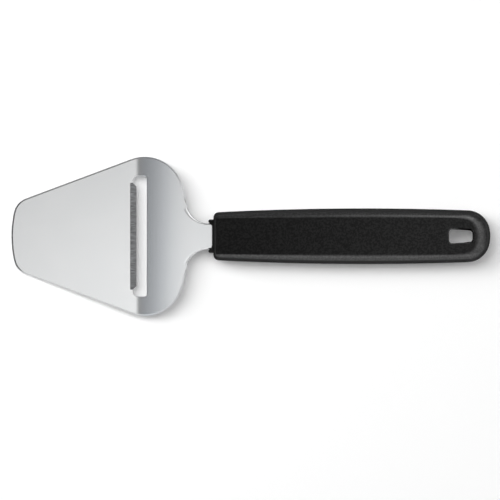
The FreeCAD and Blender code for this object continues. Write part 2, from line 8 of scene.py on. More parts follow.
import bpy
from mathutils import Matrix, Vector


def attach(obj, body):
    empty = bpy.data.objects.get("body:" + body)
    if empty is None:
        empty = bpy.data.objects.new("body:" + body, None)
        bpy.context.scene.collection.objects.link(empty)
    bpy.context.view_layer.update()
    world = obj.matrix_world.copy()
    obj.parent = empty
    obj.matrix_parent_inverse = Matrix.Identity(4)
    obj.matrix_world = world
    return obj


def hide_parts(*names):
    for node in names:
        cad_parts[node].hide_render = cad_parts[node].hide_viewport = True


MM = 0.001

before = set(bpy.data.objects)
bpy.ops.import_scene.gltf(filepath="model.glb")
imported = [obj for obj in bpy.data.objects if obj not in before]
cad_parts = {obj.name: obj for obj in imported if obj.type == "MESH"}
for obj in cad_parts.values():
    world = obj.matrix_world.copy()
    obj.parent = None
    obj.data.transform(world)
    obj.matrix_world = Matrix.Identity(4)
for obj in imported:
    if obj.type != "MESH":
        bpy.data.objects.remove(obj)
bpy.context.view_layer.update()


class Wire:
    """A number that runs through a finish; arithmetic on wires adds Math nodes."""

    def __init__(self, finish, socket):
        self.finish = finish
        self.socket = socket

    def math(self, operation, *values):
        return self.finish.add("ShaderNodeMath", {"operation": operation}, dict(enumerate(values)))

    def __add__(self, other):
        return self.math("ADD", self, other)

    def __radd__(self, other):
        return self.math("ADD", other, self)

    def __rsub__(self, other):
        return self.math("SUBTRACT", other, self)

    def __mul__(self, other):
        return self.math("MULTIPLY", self, other)

    def __rmul__(self, other):
        return self.math("MULTIPLY", other, self)

    def size(self):
        return self.math("ABSOLUTE", self)

    def step(self, low, high):
        """0 below low, 1 above high, and a soft rise between them."""
        return self.finish.add("ShaderNodeMapRange", {"interpolation_type": "SMOOTHSTEP"},
                               {"Value": self, "From Min": low, "From Max": high})

    def within(self, low, high, soft):
        return self.step(low - soft, low + soft) * (1 - self.step(high - soft, high + soft))


class Finish:
    """A procedural material, built node by node on one Principled shader."""

    def __init__(self, name, **constants):
        self.material = bpy.data.materials.new(name)
        self.material.use_nodes = True
        self.tree = self.material.node_tree
        self.shader = self.tree.nodes["Principled BSDF"]
        for socket, value in constants.items():
            self.shader.inputs[socket.replace("_", " ")].default_value = value

    def add(self, kind, settings, inputs, output=0):
        """One node: its settings first, then the values or wires of its sockets."""
        node = self.tree.nodes.new(kind)
        for name, value in settings.items():
            setattr(node, name, value)
        for name, value in inputs.items():
            if isinstance(value, Wire):
                self.tree.links.new(value.socket, node.inputs[name])
            else:
                node.inputs[name].default_value = value
        return Wire(self, node.outputs[output])

    def feed(self, socket, wire):
        self.tree.links.new(wire.socket, self.shader.inputs[socket])

    def places(self):
        """The Object coordinates in metres: all three on one wire, and each on its own."""
        where = self.add("ShaderNodeTexCoord", {}, {}, "Object")
        split = self.add("ShaderNodeSeparateXYZ", {}, {"Vector": where}).socket.node
        return where, [Wire(self, split.outputs[axis]) for axis in ("X", "Y", "Z")]

    def facing(self):
        """How level the surface lies, on top or below: 1 for level, 0 for upright."""
        normal = self.add("ShaderNodeNewGeometry", {}, {}, "Normal")
        return self.add("ShaderNodeSeparateXYZ", {}, {"Vector": normal}, "Z").size()

    def stretched(self, where, scale):
        return self.add("ShaderNodeMapping", {}, {"Vector": where, "Scale": scale})

    def noise(self, where, scale, detail=2.0, roughness=0.5):
        inputs = {"Vector": where, "Scale": scale, "Detail": detail, "Roughness": roughness}
        return self.add("ShaderNodeTexNoise", {}, inputs, "Fac")

    def cells(self, where, scale):
        inputs = {"Vector": where, "Scale": scale}
        return self.add("ShaderNodeTexVoronoi", {"feature": "F1"}, inputs, "Distance")

    def blend(self, factor, first, second):
        """A mix of two colours, whose sockets share their names with others and so go by number."""
        return self.add("ShaderNodeMix", {"data_type": "RGBA"}, {0: factor, 6: first, 7: second}, 2)

    def bump(self, height, depth, below=None):
        inputs = {"Height": height, "Distance": depth}
        if below is not None:
            inputs["Normal"] = below
        return self.add("ShaderNodeBump", {}, inputs, "Normal")


def grey(value):
    return (value, value, value, 1.0)


# Where the steel changes its look, in the frame.
BEVEL_FRONT = -56.5 * MM
BEVEL_SOFT = 0.08 * MM
LIP_EDGE = -53.5 * MM
LIP_HALF = 25.0 * MM
BEVEL_FLOOR = 3.16 * MM
BEVEL_FLOOR_SOFT = 0.04 * MM
# Where the back behind the fold is painted darker, as painted shade: from the plate to the back at the
# fold, then along the back.
FOLD_SHADE_CHANGE = (-54.0 * MM, -49.0 * MM)
BACK_SHADE_CHANGE = (-50.0 * MM, -28.0 * MM)
RIM_STOP = -30.5 * MM
SOFT_EDGE = 0.1 * MM

# How level the broken rim lies at most, and the sheet beside it at least.
RIM_TILT = (0.90, 0.94)

# The steel's tones, each pair from one end of a change to the other; the back's, the bevel's and the rim's
# are painted shade.
PLATE_TONES = ((0.775, 0.785, 0.79, 1.0), (0.80, 0.808, 0.812, 1.0))
PAINTED_BACK_SHADE_TONES = ((0.685, 0.715, 0.75, 1.0), (0.672, 0.682, 0.69, 1.0))
# The ground bevel: its lighter and darker strokes are the grinding, and its dark level is painted shade.
GRINDING_AND_SHADE_TONES = ((0.11, 0.112, 0.115, 1.0), (0.28, 0.285, 0.29, 1.0))
# How much darker the broken rim is painted, up to the neck: painted shade for its dark edge line.
PAINTED_RIM_SHADE = 0.14

# The steel's textures: waves to the metre, what part of the noise counts, and depths.
BRUSHING = (60.0, 2600.0, 600.0)
GRINDING = (220.0, 3200.0, 220.0)
CLOUD_SCALE = 38.0
CLOUD_RANGE = (0.35, 0.7)
STROKE_RANGE = (0.3, 0.7)
BRUSH_DEPTH = 0.0022 * MM
STROKE_DEPTH = 0.03 * MM

# The steel's roughness, and what each texture adds to it.
SATIN_ROUGH = 0.19
BRUSH_ROUGH = 0.04
CLOUD_ROUGH = 0.02
RIM_ROUGH = 0.07
GROUND_ROUGH = 0.12
STROKE_ROUGH = 0.12


def steel_finish():
    """Satin stainless sheet, with the cross grinding of the cutting bevel, and painted shade on its back,
    its bevel and its rim.
    """
    finish = Finish("satin_stainless_sheet", Metallic=1.0)
    where, (x, y, z) = finish.places()
    brushed = finish.noise(finish.stretched(where, BRUSHING), scale=1.0, detail=3.0)
    cloudy = finish.noise(where, CLOUD_SCALE)
    strokes = finish.noise(finish.stretched(where, GRINDING), scale=1.0)

    ground = x.within(BEVEL_FRONT, LIP_EDGE, BEVEL_SOFT)
    ground = ground * (1 - y.size().step(LIP_HALF, LIP_HALF + SOFT_EDGE))
    ground = ground * z.step(BEVEL_FLOOR, BEVEL_FLOOR + BEVEL_FLOOR_SOFT)
    rim = (1 - finish.facing().step(*RIM_TILT)) * (1 - x.step(RIM_STOP, RIM_STOP + SOFT_EDGE))

    plate = finish.blend(cloudy.step(*CLOUD_RANGE), *PLATE_TONES)
    # The back behind the fold is painted darker than the plate, and bluer near the fold: painted shade.
    back = finish.blend(x.step(*BACK_SHADE_CHANGE), *PAINTED_BACK_SHADE_TONES)
    tone = finish.blend(x.step(*FOLD_SHADE_CHANGE), plate, back)
    # The broken rim is painted darker: painted shade.
    tone = finish.blend(PAINTED_RIM_SHADE * rim, tone, grey(0.0))
    # The ground bevel is painted dark, as painted shade, with its grinding strokes lighter and darker.
    stone = finish.blend(strokes.step(*STROKE_RANGE), *GRINDING_AND_SHADE_TONES)
    finish.feed("Base Color", finish.blend(ground, tone, stone))

    satin = SATIN_ROUGH + BRUSH_ROUGH * brushed + CLOUD_ROUGH * cloudy
    finish.feed("Roughness", satin + RIM_ROUGH * rim + ground * (GROUND_ROUGH + STROKE_ROUGH * strokes))
    fine = finish.bump(brushed, BRUSH_DEPTH)
    finish.feed("Normal", finish.bump(strokes * ground, STROKE_DEPTH, below=fine))
    return finish.material


FLOW_SCALE = 420.0
FLOW_DEPTH = 0.012 * MM
COLLAR_GREYS = (0.0015, 0.003)
COLLAR_ROUGH = 0.30
FLOW_ROUGH = 0.12


def collar_finish():
    """Smooth black moulding, a little uneven in gloss."""
    finish = Finish("smooth_black_moulding", Metallic=0.0, Specular_IOR_Level=0.15)
    where, _ = finish.places()
    flow = finish.noise(where, FLOW_SCALE, detail=3.0)
    finish.feed("Base Color", finish.blend(flow, *map(grey, COLLAR_GREYS)))
    finish.feed("Roughness", COLLAR_ROUGH + FLOW_ROUGH * flow)
    finish.feed("Normal", finish.bump(flow, FLOW_DEPTH))
    return finish.material


# How level the moulding lies where its panel, its glossy shoulders and its walls begin and end.
PANEL_TURN = (0.955, 0.998)
GLOSS_TURN = (0.60, 0.82)
UPRIGHT_TURN = (0.25, 0.75)

# The moulding's textures, and the stretch along the handle over which the panel is painted lighter towards
# its end: painted light.
SPECKLE_SCALE = 1150.0
SPECK_RANGE = (0.42, 0.60)
MOTTLE_SCALE = 140.0
GRAIN_SCALE = 2100.0
GRAIN_DEPTH = 0.035 * MM
SHOULDER_GRAIN = 0.12
PANEL_PAINTED_LIGHT_SPAN = (-20.0 * MM, 95.0 * MM)
SHADED_FRONT_GREYS = (0.0001, 0.0055)
LIT_REAR_GREYS = (0.004, 0.0135)
SHOULDER_TONES = ((0.0025, 0.0025, 0.0026, 1.0), (0.0045, 0.0045, 0.0047, 1.0))

# The moulding's roughness, what each texture adds to it, and the weight of the gloss.
SHOULDER_ROUGH = 0.34
MOTTLE_ROUGH = 0.04
PANEL_ROUGH = 0.16
SPECKLE_ROUGH = 0.14
UPRIGHT_ROUGH = 0.45
GLOSS = 0.66
SPECK_GLOSS = 0.30


def handle_finish():
    """Black moulding: finely grained flat panels, glossier shoulders and dull walls."""
    finish = Finish("grained_black_moulding", Metallic=0.0, Specular_IOR_Level=0.155,
                    Coat_Roughness=0.28, Coat_IOR=1.75)
    where, (x, _, _) = finish.places()
    facing = finish.facing()
    panel = facing.step(*PANEL_TURN)
    glossy = facing.step(*GLOSS_TURN) * (1 - panel)
    upright = 1 - facing.step(*UPRIGHT_TURN)
    speckle = finish.noise(where, SPECKLE_SCALE, roughness=0.7)
    speck = speckle.step(*SPECK_RANGE)
    mottle = finish.noise(where, MOTTLE_SCALE)
    grain = finish.cells(where, GRAIN_SCALE)

    # The speckle is the moulding's own; the panel's darker front and lighter rear are painted light.
    shaded_front_tone = finish.blend(speck, *map(grey, SHADED_FRONT_GREYS))
    lit_rear_tone = finish.blend(speck, *map(grey, LIT_REAR_GREYS))
    panel_tone = finish.blend(x.step(*PANEL_PAINTED_LIGHT_SPAN), shaded_front_tone, lit_rear_tone)
    shoulder_tone = finish.blend(mottle, *SHOULDER_TONES)
    finish.feed("Base Color", finish.blend(panel, shoulder_tone, panel_tone))

    smooth = SHOULDER_ROUGH + MOTTLE_ROUGH * mottle
    grained = panel * (PANEL_ROUGH + SPECKLE_ROUGH * speckle)
    finish.feed("Roughness", smooth + grained + UPRIGHT_ROUGH * upright)
    finish.feed("Coat Weight", glossy * (GLOSS + SPECK_GLOSS * speck))
    height = grain * (SHOULDER_GRAIN + (1 - SHOULDER_GRAIN) * panel)
    finish.feed("Normal", finish.bump(height, GRAIN_DEPTH))
    return finish.material


def deselect_all():
    bpy.ops.object.select_all(action="DESELECT")


def select_only(piece):
    deselect_all()
    bpy.context.view_layer.objects.active = piece
    piece.select_set(True)


def edit(piece, mode, chosen):
    """Goes into edit mode with the corners, edges or faces selected whose corners all pass the test."""
    select_only(piece)
    bpy.context.scene.tool_settings.mesh_select_mode = (mode == "VERT", mode == "EDGE", mode == "FACE")
    mesh = piece.data
    groups = {"VERT": mesh.vertices, "EDGE": mesh.edges, "FACE": mesh.polygons}
    for group in groups.values():
        group.foreach_set("select", [False] * len(group))
    for item in groups[mode]:
        corners = [item.index] if mode == "VERT" else item.vertices
        item.select = all(chosen(mesh.vertices[n].co) for n in corners)
    bpy.ops.object.mode_set(mode="EDIT")


def leave_edit():
    bpy.ops.object.mode_set(mode="OBJECT")


def everywhere(place):
    return True


def apply_modifier(piece, kind, **settings):
    select_only(piece)
    modifier = piece.modifiers.new(kind.lower(), kind)
    for name, value in settings.items():
        setattr(modifier, name, value)
    bpy.ops.object.modifier_apply(modifier=modifier.name)


def break_edges(piece, width, segments, weight):
    """Breaks the edges that weight(midpoint, turn in degrees, ends) picks, by its share of width."""
    mesh = piece.data
    turns = {}
    for face in mesh.polygons:
        for key in face.edge_keys:
            turns.setdefault(key, []).append(face.normal)
    shares = mesh.attributes.new("bevel_weight_edge", "FLOAT", "EDGE")
    for edge in mesh.edges:
        sides = turns.get(edge.key, [])
        if len(sides) == 2:
            turn = math.degrees(sides[0].angle(sides[1], 0.0))
            ends = [mesh.vertices[n].co for n in edge.vertices]
            shares.data[edge.index].value = weight((ends[0] + ends[1]) / 2, turn, ends)
    apply_modifier(piece, "BEVEL", limit_method="WEIGHT", width=width, segments=segments,
                   use_clamp_overlap=False, miter_outer="MITER_ARC")
    mesh.attributes.remove(mesh.attributes["bevel_weight_edge"])


NORMAL_WEIGHT = 50


def shade(piece, angle):
    """Smooth shading, apart from edges that turn by more than the angle in degrees."""
    select_only(piece)
    bpy.ops.object.shade_smooth_by_angle(angle=math.radians(angle))
    apply_modifier(piece, "WEIGHTED_NORMAL", mode="FACE_AREA", weight=NORMAL_WEIGHT, keep_sharp=True)


def dress(piece, finish, node):
    piece.data.materials.clear()
    piece.data.materials.append(finish)
    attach(piece, "root")
    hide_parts(node)


# How close two places have to be to count as one, in millimetres.
NEARNESS = 0.02
MERGE_DISTANCE = 0.001
MIRROR_DISTANCE = 0.01
BISECT_DISTANCE = 0.002

# How far a cut goes past what it cuts.
MARGIN = 3.0

QUARTER = math.pi / 2
SPIN_AXIS = (0, 0, -1)
UPRIGHT_SPIN_AXIS = (0, 1, 0)


def flat(x, y):
    return Vector((x, y))


def turned(place, centre, turn):
    """Where a point of the drawing goes in a turn about a centre."""
    arm = place - centre
    cosine, sine = math.cos(turn), math.sin(turn)
    return centre + flat(arm.x * cosine - arm.y * sine, arm.x * sine + arm.y * cosine)


def bearing(centre, place):
    return math.atan2(place.y - centre.y, place.x - centre.x)


def near(value, goal):
    """Whether a place in metres is at a goal in millimetres."""
    return abs(value - goal * MM) < NEARNESS * MM


def is_level(ends):
    return near(ends[0].z, ends[1].z / MM)


def edges_along(axis):
    """Picks the edges for break_edges that run along the axis x, y or z."""
    def weight(place, turn, ends):
        return 1.0 if abs(getattr(ends[0], axis) - getattr(ends[1], axis)) > MM else 0.0

    return weight


def settle(name):
    """Names the piece that was just added, and moves its place into its mesh."""
    piece = bpy.context.view_layer.objects.active
    piece.name = name
    bpy.ops.object.transform_apply(location=True, rotation=True, scale=True)
    return piece


def extrude(way):
    bpy.ops.mesh.extrude_region_move(TRANSFORM_OT_translate={"value": way})


def draw_path(name, start, moves, level=0.0, upright=False):
    """A wire on the flat at a level, or on the upright plane along the tool, in millimetres.

    Each move is a straight run to a point, or a turn about a centre in so many steps.
    """
    def in_space(place):
        return Vector((place.x, level, place.y) if upright else (place.x, place.y, level)) * MM

    axis = UPRIGHT_SPIN_AXIS if upright else SPIN_AXIS
    deselect_all()
    bpy.ops.mesh.primitive_plane_add(size=MM, location=in_space(start))
    piece = settle(name)
    edit(piece, "VERT", everywhere)
    bpy.ops.mesh.merge(type="CENTER")
    here = start
    for move in moves:
        if isinstance(move, Vector):
            extrude(in_space(move) - in_space(here))
            here = move
        else:
            centre, turn, steps = move
            bpy.ops.mesh.spin(steps=steps, angle=turn, center=in_space(centre), axis=axis)
            here = turned(here, centre, turn)
    leave_edit()
    return piece


def fill_path(piece):
    """Joins the ends of a closed wire and gives it a face."""
    edit(piece, "VERT", everywhere)
    bpy.ops.mesh.remove_doubles(threshold=MERGE_DISTANCE * MM)
    bpy.ops.mesh.select_all(action="SELECT")
    bpy.ops.mesh.edge_face_add()
    leave_edit()


def mirror(piece, axis):
    apply_modifier(piece, "MIRROR", use_axis=[name == axis for name in "XYZ"], use_clip=True,
                   merge_threshold=MIRROR_DISTANCE * MM)


def thicken(piece, way):
    """Draws a filled outline out into a solid, by a vector in millimetres."""
    edit(piece, "FACE", everywhere)
    extrude(Vector(way) * MM)
    bpy.ops.mesh.select_all(action="SELECT")
    bpy.ops.mesh.normals_make_consistent(inside=False)
    leave_edit()


def add_box(name, low, high):
    """A box between two corners given in millimetres, its place in its mesh."""
    low, high = Vector(low) * MM, Vector(high) * MM
    deselect_all()
    bpy.ops.mesh.primitive_cube_add(size=1.0, location=(low + high) / 2, scale=high - low)
    return settle(name)


def combine(piece, tool, operation):
    apply_modifier(piece, "BOOLEAN", operation=operation, object=tool, solver="EXACT")
    bpy.data.objects.remove(tool)


def cut(piece, cutter):
    combine(piece, cutter, "DIFFERENCE")


# The blade from above. Its lengths run from its nose tip, which stands at NOSE_AT in the frame.
NOSE_AT = -112.5
NOSE_RADIUS = 52.0
NOSE_CORNER = 9.0
FLANK_TILT = math.radians(20.4)
PADDLE_HALF = 37.35
PADDLE_WIDEST = 62.7
HIP_RADIUS = 18.3
NECK_AT = 92.8
NECK_HALF = 6.1
NECK_RADIUS = 10.4
NECK_END = 97.0
FLANGE_BEND = 0.65
FLANGE_DROP = 2.6
FLANGE_SWEEP = math.radians(73.0)
BEND_LINE_RADIUS = 13.4
BEND_LINE_SWEEP = math.radians(61.5)
BEND_LINE_HALF = NECK_HALF - FLANGE_BEND
TANG_HALF = 5.2
TANG_TIP = 172.0
TANG_CORNER = 3.0
SLOT_HALF = 28.3
SLOT_FRONT = 57.3
SLOT_REAR = 63.8
SLOT_FRONT_CORNER = 2.3
SLOT_REAR_CORNER = 1.1
LIP_ROOT = 24.9
LIP_REACH = 23.4
LIP_AT = 58.9

# The blade from the side.
SHEET = 1.2
FRONT_TILT = math.radians(3.0)
FOLD_AT = 59.4
FOLD_RADIUS = 14.0
CROWN_END = 88.0
TANG_LEVEL = 5.8

# The steps that the blade's arcs are drawn in.
NOSE_STEPS = 14
NOSE_CORNER_STEPS = 12
HIP_STEPS = 36
BEND_LINE_STEPS = 20
TANG_CORNER_STEPS = 5
SLOT_REAR_STEPS = 6
SLOT_FRONT_STEPS = 8
FLANGE_STEPS = 26
KNEE_SEGMENTS = 8
FOLD_STEPS = 8
CROWN_STEPS = 32

# The blade's broken rim, which fades out at the neck. The sheet is RIM_SLACK times as thick while its
# rim is broken, so that the chamfers lie flatter when it is pressed back.
RIM_BREAK = 0.7
RIM_BELOW = 0.3
RIM_TURN = 55.0
RIM_SLACK = 1.6
RIM_SHORT = 0.8
RIM_FADE = 5.0
RIM_FADE_STEPS = 4
RIM_FOOT = 14.3
CROWN_FRONT = 70.0
SLOT_BREAK = 0.2
SLOT_REACH = 0.2


def paddle_outline():
    """One half of the sheet from above, from the nose tip round to the tang and back by the slot."""
    nose_centre = flat(NOSE_RADIUS, 0.0)
    hip_centre = flat(PADDLE_WIDEST, PADDLE_HALF - HIP_RADIUS)
    along = flat(math.cos(FLANK_TILT), math.sin(FLANK_TILT))
    outward = flat(-along.y, along.x)
    flank_end = hip_centre + outward * HIP_RADIUS
    guide = flank_end - outward * NOSE_CORNER
    gap = guide - nose_centre
    inner = NOSE_RADIUS - NOSE_CORNER
    step = -gap.dot(along) - math.sqrt(gap.dot(along) ** 2 - gap.dot(gap) + inner ** 2)
    corner_centre = guide + along * step
    nose_turn = bearing(nose_centre, corner_centre) - math.pi
    corner_turn = bearing(flat(0.0, 0.0), outward) - bearing(nose_centre, corner_centre)

    neck_centre = flat(NECK_AT, NECK_HALF + NECK_RADIUS)
    kink = turned(flat(NECK_AT, NECK_HALF), neck_centre, -FLANGE_SWEEP)
    bend_centre = flat(NECK_AT, BEND_LINE_HALF + BEND_LINE_RADIUS)
    foot = turned(flat(NECK_AT, BEND_LINE_HALF), bend_centre, -BEND_LINE_SWEEP)
    sight = hip_centre - kink
    lean = math.atan2(sight.y, sight.x) - math.asin(HIP_RADIUS / sight.length)
    hip_run = flat(math.cos(lean), math.sin(lean))
    hip_top = kink + hip_run * math.sqrt(sight.length ** 2 - HIP_RADIUS ** 2)
    fade_step = RIM_FADE / RIM_FADE_STEPS
    rim_fade = [kink + hip_run * (RIM_SHORT + fade_step * n) for n in range(RIM_FADE_STEPS, -1, -1)]
    hip_turn = bearing(hip_centre, hip_top) - bearing(hip_centre, flank_end)

    tang_corner = flat(TANG_TIP - TANG_CORNER, TANG_HALF - TANG_CORNER)
    slot_rear = flat(SLOT_REAR - SLOT_REAR_CORNER, SLOT_HALF - SLOT_REAR_CORNER)
    slot_front = flat(SLOT_FRONT + SLOT_FRONT_CORNER, SLOT_HALF - SLOT_FRONT_CORNER)
    return [
        (nose_centre, nose_turn, NOSE_STEPS), (corner_centre, corner_turn, NOSE_CORNER_STEPS), flank_end,
        (hip_centre, hip_turn, HIP_STEPS), *rim_fade, kink, foot,
        (bend_centre, BEND_LINE_SWEEP, BEND_LINE_STEPS), flat(NECK_END, BEND_LINE_HALF),
        flat(NECK_END, TANG_HALF), flat(tang_corner.x, TANG_HALF),
        (tang_corner, -QUARTER, TANG_CORNER_STEPS), flat(TANG_TIP, 0.0),
        flat(SLOT_REAR, 0.0), flat(SLOT_REAR, slot_rear.y), (slot_rear, QUARTER, SLOT_REAR_STEPS),
        flat(slot_front.x, SLOT_HALF), (slot_front, QUARTER, SLOT_FRONT_STEPS),
        flat(SLOT_FRONT, LIP_ROOT), flat(LIP_AT, LIP_REACH), flat(LIP_AT, 0.0), flat(0.0, 0.0),
    ]


def blade_rim(place, turn, ends):
    """How far each edge of the flat sheet is broken: the paddle's rim and the slot, but not the lip."""
    x, y = place.x / MM, abs(place.y) / MM
    if turn < RIM_TURN or (x > CROWN_FRONT and y < RIM_FOOT):
        return 0.0
    if SLOT_FRONT - SLOT_REACH < x < SLOT_REAR + SLOT_REACH and y < SLOT_HALF + SLOT_REACH:
        by_lip = x < LIP_AT + SLOT_REACH and y < LIP_ROOT + SLOT_REACH
        return 0.0 if by_lip else SLOT_BREAK / RIM_BREAK
    share = min(1.0, (y - RIM_FOOT) / RIM_FADE) if x > CROWN_FRONT else 1.0
    return share if place.z > SHEET * RIM_SLACK * MM / 2 else share * RIM_BELOW / RIM_BREAK


def evenly(start, stop, steps):
    return [start + n * (stop - start) / steps for n in range(steps)]


class SheetBend:
    """The sheet from the side: sloping plate, fold, crowned back and level tang."""

    def __init__(self):
        run = CROWN_END - FOLD_AT
        rise = TANG_LEVEL - FOLD_AT * math.tan(FRONT_TILT)
        self.crown_radius = (run ** 2 + rise ** 2) / (2 * rise)
        self.crown_centre = flat(CROWN_END, TANG_LEVEL - self.crown_radius)
        along = flat(math.cos(FRONT_TILT), math.sin(FRONT_TILT))
        upward = flat(-along.y, along.x)
        self.fold_radius = FOLD_RADIUS + SHEET
        reach = self.crown_radius + self.fold_radius
        toward = self.crown_centre - upward * self.fold_radius
        back_off = math.sqrt(reach ** 2 - toward.dot(toward) + toward.dot(along) ** 2)
        self.fold_centre = along * (toward.dot(along) - back_off) + upward * self.fold_radius
        self.fold_from = (self.fold_centre - upward * self.fold_radius).x
        self.crown_from = self.fold_centre.lerp(self.crown_centre, self.fold_radius / reach).x

    def level(self, x):
        """How high the sheet's underside is at a distance from the nose tip."""
        if x < self.fold_from:
            return x * math.tan(FRONT_TILT)
        if x < self.crown_from:
            return self.fold_centre.y - math.sqrt(self.fold_radius ** 2 - (x - self.fold_centre.x) ** 2)
        if x < CROWN_END:
            return self.crown_centre.y + math.sqrt(self.crown_radius ** 2 - (x - self.crown_centre.x) ** 2)
        return TANG_LEVEL

    def lines(self):
        """Where the flat sheet is divided so that it can bend."""
        fold = evenly(self.fold_from, self.crown_from, FOLD_STEPS)
        return fold + evenly(self.crown_from, CROWN_END, CROWN_STEPS) + [CROWN_END]


SIDE_VIEW = SheetBend()


def bend_sheet(piece):
    """Divides the flat sheet across the tool and lifts it to its side view."""
    edit(piece, "VERT", everywhere)
    for x in SIDE_VIEW.lines():
        bpy.ops.mesh.select_all(action="SELECT")
        bpy.ops.mesh.bisect(plane_co=(x * MM, 0.0, 0.0), plane_no=(1.0, 0.0, 0.0),
                            threshold=BISECT_DISTANCE * MM)
    leave_edit()
    for vertex in piece.data.vertices:
        vertex.co.z += SIDE_VIEW.level(vertex.co.x / MM) * MM
    piece.data.update()


def add_flanges():
    """The neck's two turned-down edges, swept round the neck's curve."""
    top = TANG_LEVEL + SHEET
    piece = add_box("flanges", (NECK_AT, NECK_HALF - SHEET, TANG_LEVEL - FLANGE_DROP),
                    (NECK_END, NECK_HALF, top))

    def knee(place, turn, ends):
        return 1.0 if all(near(end.y, NECK_HALF) and near(end.z, top) for end in ends) else 0.0

    break_edges(piece, FLANGE_BEND * MM, KNEE_SEGMENTS, knee)
    edit(piece, "FACE", lambda place: near(place.x, NECK_AT))
    bpy.ops.mesh.spin(steps=FLANGE_STEPS, angle=-FLANGE_SWEEP, axis=SPIN_AXIS,
                      center=(NECK_AT * MM, (NECK_HALF + NECK_RADIUS) * MM, 0.0))
    leave_edit()
    widen_flange(piece)
    edit(piece, "FACE", everywhere)
    bpy.ops.mesh.normals_make_consistent(inside=False)
    leave_edit()
    mirror(piece, "Y")
    return piece


def widen_flange(piece):
    """Draws the swept flange in to the bend line, and lays it on the crowned sheet."""
    centre = flat(NECK_AT, NECK_HALF + NECK_RADIUS)
    lift = BEND_LINE_HALF + BEND_LINE_RADIUS - centre.y
    for vertex in piece.data.vertices:
        arm = flat(vertex.co.x, vertex.co.y) / MM - centre
        if arm.x < 0:
            turn = math.atan2(-arm.x, -arm.y)
            line = math.sqrt(BEND_LINE_RADIUS ** 2 - (lift * math.sin(turn)) ** 2) - lift * math.cos(turn)
            share = (line - NECK_RADIUS) / FLANGE_BEND
            arm *= (NECK_RADIUS + (arm.length - NECK_RADIUS) * share) / arm.length
            vertex.co.xy = (centre + arm) * MM
        vertex.co.z += (SIDE_VIEW.level(vertex.co.x / MM) - TANG_LEVEL) * MM


BEVEL_FALL = math.tan(math.radians(18.5))
LIP_LAND = 0.12


def grinding_wedge():
    """What the stone takes off the lip."""
    edge = flat(LIP_AT, LIP_AT * math.tan(FRONT_TILT) + LIP_LAND)
    low = edge + flat(MARGIN / 2, -MARGIN / 2 * BEVEL_FALL)
    high = edge + flat(-2 * SHEET / BEVEL_FALL, 2 * SHEET)
    piece = draw_path("stone", low, [high, flat(low.x, high.y), low], level=-LIP_ROOT, upright=True)
    fill_path(piece)
    thicken(piece, (0.0, 2 * LIP_ROOT, 0.0))
    return piece


ANCHORS = (117.0, 152.0)
ANCHOR_RADIUS = 2.5
ANCHOR_SIDES = 40


def add_anchor(place, low, high):
    """A round bar through one of the tang's anchor holes."""
    deselect_all()
    bpy.ops.mesh.primitive_cylinder_add(vertices=ANCHOR_SIDES, radius=ANCHOR_RADIUS * MM,
                                        depth=(high - low) * MM,
                                        location=(place * MM, 0.0, (low + high) / 2 * MM))
    return settle("anchor")


BLADE_SMOOTH = 20.0


def make_blade():
    piece = draw_path("steel_sheet", flat(0.0, 0.0), paddle_outline())
    fill_path(piece)
    mirror(piece, "Y")
    thicken(piece, (0.0, 0.0, SHEET * RIM_SLACK))
    break_edges(piece, RIM_BREAK * MM, 1, blade_rim)
    edit(piece, "VERT", everywhere)
    bpy.ops.transform.resize(value=(1.0, 1.0, 1.0 / RIM_SLACK), center_override=(0.0, 0.0, 0.0))
    leave_edit()
    bend_sheet(piece)
    combine(piece, add_flanges(), "UNION")
    cut(piece, grinding_wedge())
    for place in ANCHORS:
        cut(piece, add_anchor(place, TANG_LEVEL - MARGIN, TANG_LEVEL + MARGIN))
    edit(piece, "VERT", everywhere)
    bpy.ops.transform.translate(value=(NOSE_AT * MM, 0.0, 0.0))
    leave_edit()
    shade(piece, BLADE_SMOOTH)
    dress(piece, steel_finish(), "blade")


# The collar, in its place in the frame.
COLLAR_FRONT = -18.0
COLLAR_BACK = -10.4
COLLAR_HALF = 7.9
COLLAR_LOW = 1.8
COLLAR_HIGH = 11.0
COLLAR_CORNER = 2.2
COLLAR_CORNER_SEGMENTS = 8
COLLAR_BREAK = 0.3
COLLAR_BREAK_SEGMENTS = 3
COLLAR_SMOOTH = 32.0
EAR_FLAT = 4.0
EAR_ROOT = 2.6
EAR_ROOT_STEPS = 10
EAR_TIP_STEPS = 12
EAR_TURN = math.radians(60.0)


def collar_outline():
    """One half of the collar from above, from its front round the ear to its back."""
    front = flat(COLLAR_FRONT, EAR_FLAT)
    root_centre = front - flat(EAR_ROOT, 0.0)
    root_end = turned(front, root_centre, EAR_TURN)
    tip_radius = (COLLAR_HALF - root_end.y) / (1 + math.sin(EAR_TURN))
    tip_centre = root_end + flat(math.cos(EAR_TURN), math.sin(EAR_TURN)) * tip_radius
    return [
        front, (root_centre, EAR_TURN, EAR_ROOT_STEPS), (tip_centre, -QUARTER - EAR_TURN, EAR_TIP_STEPS),
        flat(COLLAR_BACK, COLLAR_HALF), flat(COLLAR_BACK, 0.0), flat(COLLAR_FRONT, 0.0),
    ]


def collar_block(name):
    """A bar of the collar's outer section, which is also the mouth that the handle leaves for it."""
    bar = add_box(name, (COLLAR_FRONT - 2 * MARGIN, -COLLAR_HALF, COLLAR_LOW),
                  (COLLAR_BACK, COLLAR_HALF, COLLAR_HIGH))
    break_edges(bar, COLLAR_CORNER * MM, COLLAR_CORNER_SEGMENTS, edges_along("x"))
    return bar


def collar_rim(place, turn, ends):
    return 1.0 if turn > RIM_TURN and is_level(ends) else 0.0


